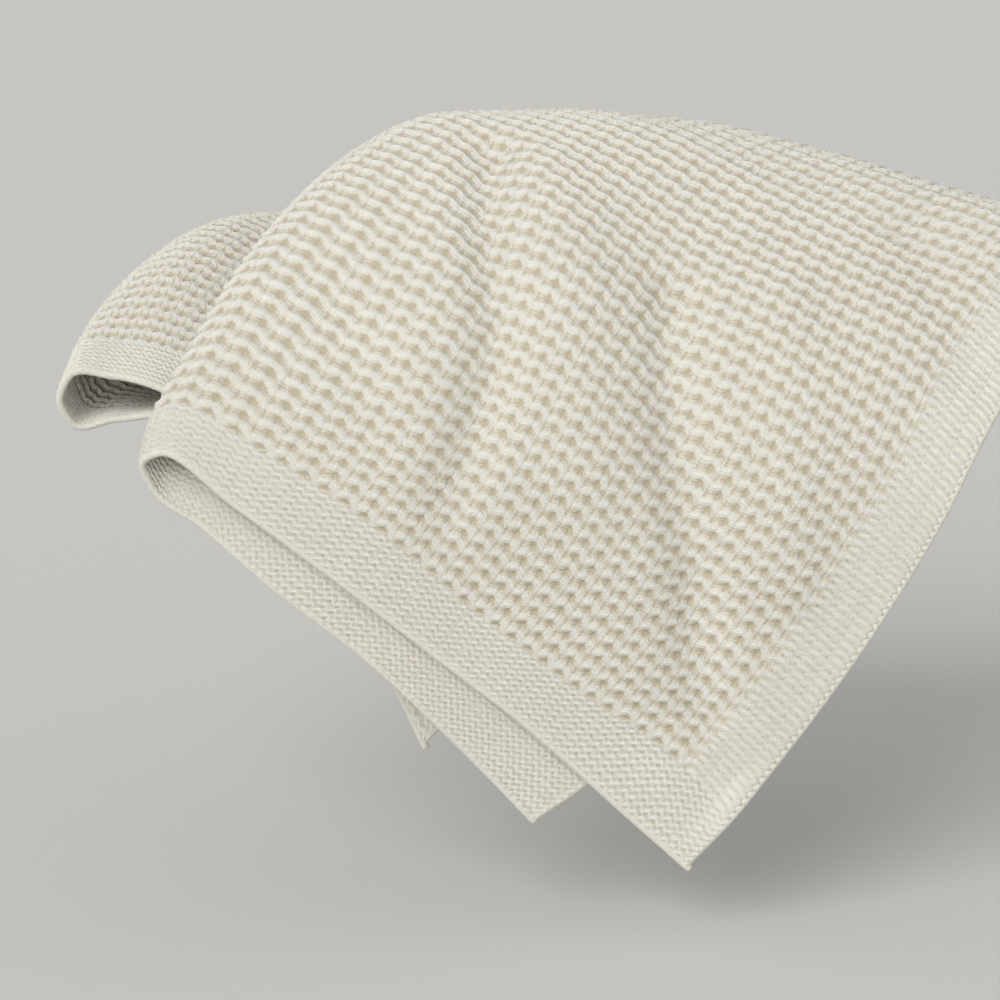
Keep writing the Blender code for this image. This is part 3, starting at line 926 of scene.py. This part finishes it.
# Each piece: its name, the CAD nodes it stands for, across, along, its cells as shares of
# the cell size, and how many times larger the back face's cells are.
FIELDS = (
    ("outer_leaf_low", ("upper_outer_field", "upper_fold"),
     (OUTER_LINE, STRIP), (FRONT_LINE, -0.550), 1.0, 0.95, 2),
    ("outer_leaf_high", (), (OUTER_LINE, STRIP), (-0.550, -0.250), 1.0, 0.95, 2),
    ("outer_leaf_back", (), (OUTER_LINE, STRIP), (-0.250, 0.0), 1.3, 1.2, 2),
    ("inner_leaf", ("upper_inner_field",), (STRIP, INNER_LINE), (FRONT_LINE, 0.0), 1.8, 1.6, 2),
    ("lower_inner_leaf_fold", ("lower_inner_field", "lower_fold"),
     (-STRIP, 0.200), (0.0, END_LINE), 1.2, 1.1, 2),
    ("lower_inner_leaf", (), (0.200, INNER_LINE), (0.0, END_LINE), 1.8, 1.6, 2),
    ("lower_outer_leaf_fold", ("lower_outer_field",),
     (-0.200, -STRIP), (0.0, END_LINE), 1.4, 1.2, 2),
    ("lower_outer_leaf", (), (OUTER_LINE, -0.200), (0.0, END_LINE), 1.6, 1.4, 2),
)
BORDERS = (
    ("front_border", ("front_border_outer", "front_border_fold", "front_border_under"),
     (OUTER, INNER), (FRONT, FRONT_LINE), 1.1, 0.54, 1),
    ("outer_side_border", ("upper_outer_side_border",),
     (OUTER, OUTER_LINE), (FRONT_LINE, 0.0), 1.1, 0.54, 2),
    ("inner_side_border", ("upper_inner_side_border",),
     (INNER_LINE, INNER), (FRONT_LINE, 0.0), 1.3, 0.65, 2),
    ("lower_outer_border", ("lower_outer_side_border",),
     (OUTER, OUTER_LINE), (0.0, END_LINE), 1.3, 0.65, 2),
    ("lower_inner_border", ("lower_inner_side_border",),
     (INNER_LINE, INNER), (0.0, END_LINE), 1.3, 0.65, 2),
    ("end_border", ("end_border_outer", "end_border_fold", "end_border_inner"),
     (OUTER, INNER), (END_LINE, END), 1.1, 0.54, 1),
)


def knit_inputs(knit, pressed):
    """The tree's inputs. What lies under the upper leaves is pressed flatter."""
    inputs = {label: getattr(knit, key) for label, key in RELIEF_INPUTS}
    inputs["Seed"] = SEED
    if pressed:
        inputs["Waffle depth"] *= UNDERNEATH
        inputs["Ridge height"] *= UNDERNEATH
    return inputs


def wool(scene):
    """The yarn's material, made once."""
    return bpy.data.materials.get("wool_yarn") or yarn_material("wool_yarn", scene.throw_yarn)


def knit_pieces(scene, table):
    """Every piece of a table, knitted and finished."""
    knit = scene.throw_knit
    tree = bpy.data.node_groups.get("knit_relief") or relief_tree()
    paint = wool(scene)
    for name, nodes, u_range, v_range, wide, tall, back in table:
        base = slab(name, u_range, v_range, knit.cell * wide, knit.cell * tall, back)
        piece = knitted(name, base, tree, knit_inputs(knit, v_range[0] >= 0.0), paint)
        finish_piece(piece, nodes)


class THROW_OT_fields(bpy.types.Operator):
    """Knit the waffle field, leaf by leaf, with both lengthwise folds."""

    bl_idname = "throw.fields"
    bl_label = "Waffle field"

    def execute(self, context):
        knit_pieces(context.scene, FIELDS)
        return {"FINISHED"}


class THROW_OT_borders(bpy.types.Operator):
    """Knit the garter-stitch borders."""

    bl_idname = "throw.borders"
    bl_label = "Garter borders"

    def execute(self, context):
        knit_pieces(context.scene, BORDERS)
        return {"FINISHED"}


def chain_tube(name, us, vs, away, radius, ring=14):
    """A rounded edge along one side of the sheet, with the chain's crossing strands."""
    line = surface(us, vs)
    normal = surface_normals(us, vs)
    step = 0.001 * np.array(away)
    out = line - surface(us - step[0], vs - step[1])
    if away[0]:
        along = surface(us, vs + 0.002) - surface(us, vs - 0.002)
    else:
        along = surface(us + 0.002, vs) - surface(us - 0.002, vs)
    along = unit(along).reshape(-1, 3)
    out = out.reshape(-1, 3)
    normal = normal.reshape(-1, 3)
    line = line.reshape(-1, 3)
    out = unit(out - along * np.sum(out * along, axis=1, keepdims=True))
    line = line + out * (radius - CORD_BACK)
    run = np.concatenate(([0.0], np.cumsum(np.linalg.norm(np.diff(line, axis=0), axis=1))))
    angle = np.arange(ring) * 2 * math.pi / ring
    turn = angle[None, :]
    turns = math.pi * run[:, None] / CHAIN_PITCH
    one_way = np.abs(np.sin(turns + turn))
    other_way = np.abs(np.sin(turns - turn + CHAIN_SHIFT))
    strands = np.maximum(one_way, other_way)
    bulge = CHAIN_BULGE[0] + CHAIN_BULGE[1] * strands**2
    points = line[:, None, :] + radius * bulge[:, :, None] * (
        out[:, None, :] * np.cos(turn)[:, :, None] + normal[:, None, :] * np.sin(turn)[:, :, None]
    )
    count = len(line)
    i, j = np.meshgrid(np.arange(count - 1), np.arange(ring), indexing="ij")
    a = (i * ring + j).ravel()
    b = (i * ring + (j + 1) % ring).ravel()
    quads = np.stack([a, a + ring, b + ring, b], axis=1)
    facing = np.sum(np.cross(out[0], normal[0]) * along[0])
    if facing > 0:
        quads = quads[:, ::-1]
    first = np.arange(ring)
    last = first + (count - 1) * ring
    caps = [first[::-1], last] if facing > 0 else [first, last[::-1]]
    loops = np.concatenate([quads.ravel(), caps[0], caps[1]])
    sizes = np.concatenate([np.full(len(quads), 4), [ring, ring]])
    flat = np.arange(len(sizes)) >= len(quads)
    # Painted shade: the edge's tone is darker between its crossing strands
    tone = CHAIN_SHADE[0] + CHAIN_SHADE[1] * strands
    return mesh_from(name, points.reshape(-1, 3), loops, sizes, flat, {"relief": tone.ravel()})


class THROW_OT_edge(bpy.types.Operator):
    """Add the rounded chain edge along all four sides."""

    bl_idname = "throw.edge"
    bl_label = "Rounded edge"

    def execute(self, context):
        paint = wool(context.scene)
        radius = EDGE_CORD / 2 + CORD_OVER
        hem = np.arange(OUTER - CORD_PAST, INNER + CORD_PAST, CORD_STEP)
        side = np.arange(FRONT, END, CORD_STEP)
        rows = (
            ("front_hem_edge", "front_hem_cord", hem, np.array([FRONT]), (0.0, -1.0)),
            ("end_hem_edge", "end_hem_cord", hem, np.array([END]), (0.0, 1.0)),
            ("outer_side_edge", "outer_side_cord", np.array([OUTER]), side, (-1.0, 0.0)),
            ("inner_side_edge", "inner_side_cord", np.array([INNER]), side, (1.0, 0.0)),
        )
        for name, node, us, vs, away in rows:
            mesh = chain_tube(name, us, vs, away, radius)
            mesh.materials.append(paint)
            piece = bpy.data.objects.new(name, mesh)
            context.scene.collection.objects.link(piece)
            finish_piece(piece, (node,))
        return {"FINISHED"}


def soft_sun(name, direction, strength, spread, colour):
    """A broad, soft light from far off: it lights near and far alike."""
    data = bpy.data.lights.new(name, "SUN")
    data.energy = strength
    data.angle = math.radians(spread)
    data.color = colour
    lamp = bpy.data.objects.new(name, data)
    lamp.rotation_euler = (-Vector(direction)).to_track_quat("-Z", "Y").to_euler()
    bpy.context.scene.collection.objects.link(lamp)


class THROW_OT_stage(bpy.types.Operator):
    """Make the floor, the soft lights and the camera."""

    bl_idname = "throw.stage"
    bl_label = "Stage"

    def execute(self, context):
        scene = context.scene
        stage = scene.throw_stage
        depth = stage.floor_depth
        mesh = bpy.data.meshes.new("floor")
        far = FLOOR_HALF
        corners = [(x, y, -depth) for x, y in ((-far, -far), (far, -far), (far, far), (-far, far))]
        mesh.from_pydata(corners, [], [(0, 1, 2, 3)])
        paint = bpy.data.materials.new("floor_paint")
        paint.use_nodes = True
        shader = paint.node_tree.nodes["Principled BSDF"]
        shader.inputs["Base Color"].default_value = (*stage.floor_colour, 1.0)
        shader.inputs["Roughness"].default_value = 0.9
        shader.inputs["Specular IOR Level"].default_value = 0.2
        mesh.materials.append(paint)
        floor = bpy.data.objects.new("floor", mesh)
        scene.collection.objects.link(floor)
        world = bpy.data.worlds.new("soft_room")
        world.use_nodes = True
        glow = world.node_tree.nodes["Background"]
        glow.inputs["Color"].default_value = (0.97, 0.985, 1.0, 1.0)
        glow.inputs["Strength"].default_value = stage.ambient
        scene.world = world
        key = stage.key_power
        soft_sun("key", KEY_FROM, key, 42.0, (1.0, 0.985, 0.96))
        soft_sun("fill", FILL_FROM, key * FILL_SHARE, 24.0, (1.0, 0.98, 0.94))
        data = bpy.data.cameras.new("camera")
        data.lens = stage.lens
        data.sensor_width = 36.0
        data.clip_end = 100.0
        camera = bpy.data.objects.new("camera", data)
        camera.location = CAMERA_PLACE
        camera.rotation_euler = (math.radians(90.0 - CAMERA_DIP), 0.0, 0.0)
        scene.collection.objects.link(camera)
        scene.camera = camera
        scene.view_settings.view_transform = "Standard"
        return {"FINISHED"}


class THROW_PT_panel(bpy.types.Panel):
    """Builds the throw, piece by piece."""

    bl_idname = "THROW_PT_panel"
    bl_label = "Folded throw"
    bl_space_type = "VIEW_3D"
    bl_region_type = "UI"
    bl_category = "Throw"

    def draw(self, context):
        for group in (context.scene.throw_knit, context.scene.throw_yarn, context.scene.throw_stage):
            box = self.layout.box()
            for key in group.bl_rna.properties.keys():
                if key not in {"rna_type", "name"}:
                    box.prop(group, key)
        for operator in OPERATORS:
            self.layout.operator(operator.bl_idname)


GROUPS = (
    ("throw_knit", ThrowKnit),
    ("throw_yarn", ThrowYarn),
    ("throw_stage", ThrowStage),
)
OPERATORS = (THROW_OT_stage, THROW_OT_fields, THROW_OT_borders, THROW_OT_edge)


def register():
    for _, group in GROUPS:
        bpy.utils.register_class(group)
    for operator in OPERATORS:
        bpy.utils.register_class(operator)
    bpy.utils.register_class(THROW_PT_panel)
    for key, group in GROUPS:
        setattr(bpy.types.Scene, key, bpy.props.PointerProperty(type=group))


def unregister():
    for key, _ in GROUPS:
        delattr(bpy.types.Scene, key)
    bpy.utils.unregister_class(THROW_PT_panel)
    for operator in reversed(OPERATORS):
        bpy.utils.unregister_class(operator)
    for _, group in reversed(GROUPS):
        bpy.utils.unregister_class(group)


def main():
    register()
    bpy.ops.throw.stage()
    bpy.ops.throw.fields()
    bpy.ops.throw.borders()
    bpy.ops.throw.edge()


if __name__ == "__main__":
    main()
